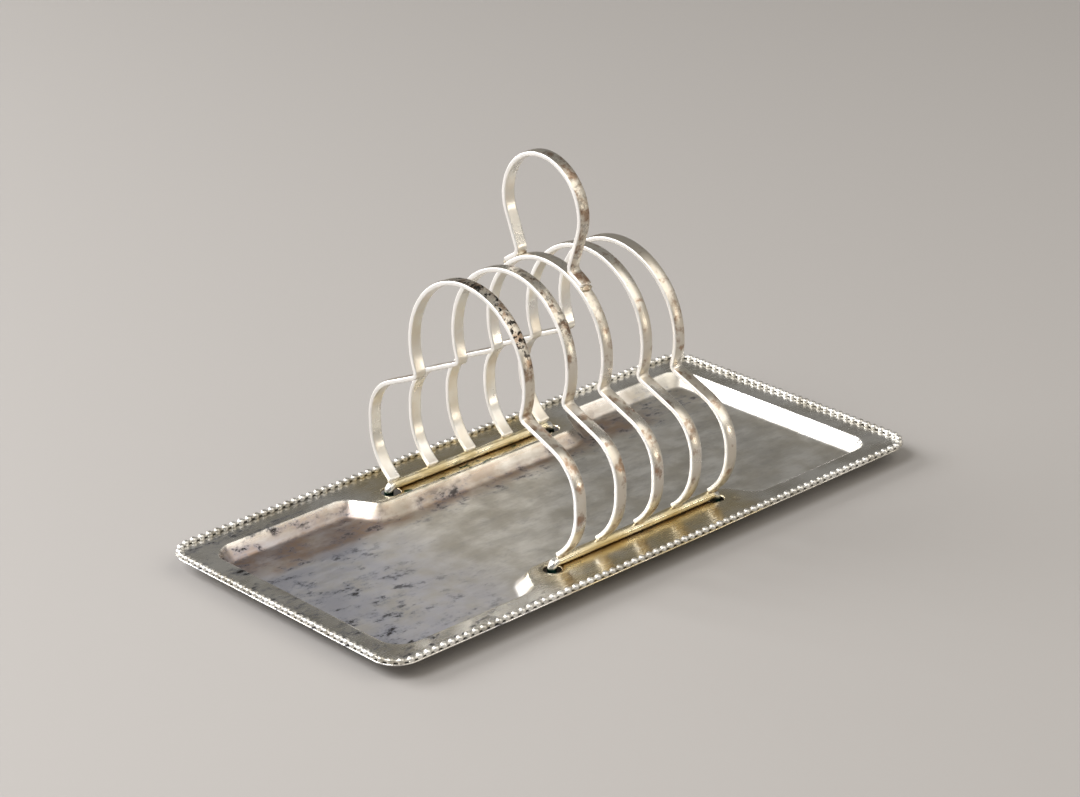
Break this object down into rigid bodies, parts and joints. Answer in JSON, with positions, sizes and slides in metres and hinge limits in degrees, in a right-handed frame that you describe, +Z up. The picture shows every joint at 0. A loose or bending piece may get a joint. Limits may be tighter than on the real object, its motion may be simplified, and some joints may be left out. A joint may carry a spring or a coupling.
{
  "type": "toast rack",
  "caption": "Silver-plated toast rack: strip arches with round shoulders on wire rails, a loop handle, and a waisted crumb tray with a beaded edge.",
  "frame": {"origin": "centre of the tray's flat underside, where it rests on the table", "axes": "+X along the tray's length, +Y across it and in the plane of each arch, +Z up"},
  "size_m": [0.2284, 0.1124, 0.1241],
  "materials": {
    "tray_plate": "worn silver plate, tarnished and pitted",
    "bead_plate": "bright silver plate, dark between the beads",
    "rail_plate": "thin silver plate with the brass showing through",
    "strip_plate": "silver plate, rubbed at the edges, pitted on top",
    "handle_plate": "silver plate worn to a brown tone by handling"
  },
  "bodies": {
    "tray_body": {"tray": "tray_plate", "bead_border": "bead_plate"},
    "rack": {"rail_near": "rail_plate", "rail_far": "rail_plate", "arch_1": "strip_plate", "arch_2": "strip_plate", "arch_3": "strip_plate", "arch_4": "strip_plate", "arch_5": "strip_plate", "handle_loop": "handle_plate"}
  },
  "joints": [
    {"name": "rack_lift", "type": "slide", "parent": "tray_body", "child": "rack", "axis": [0, 0, 1], "range_m": [0, 0.04]}
  ]
}
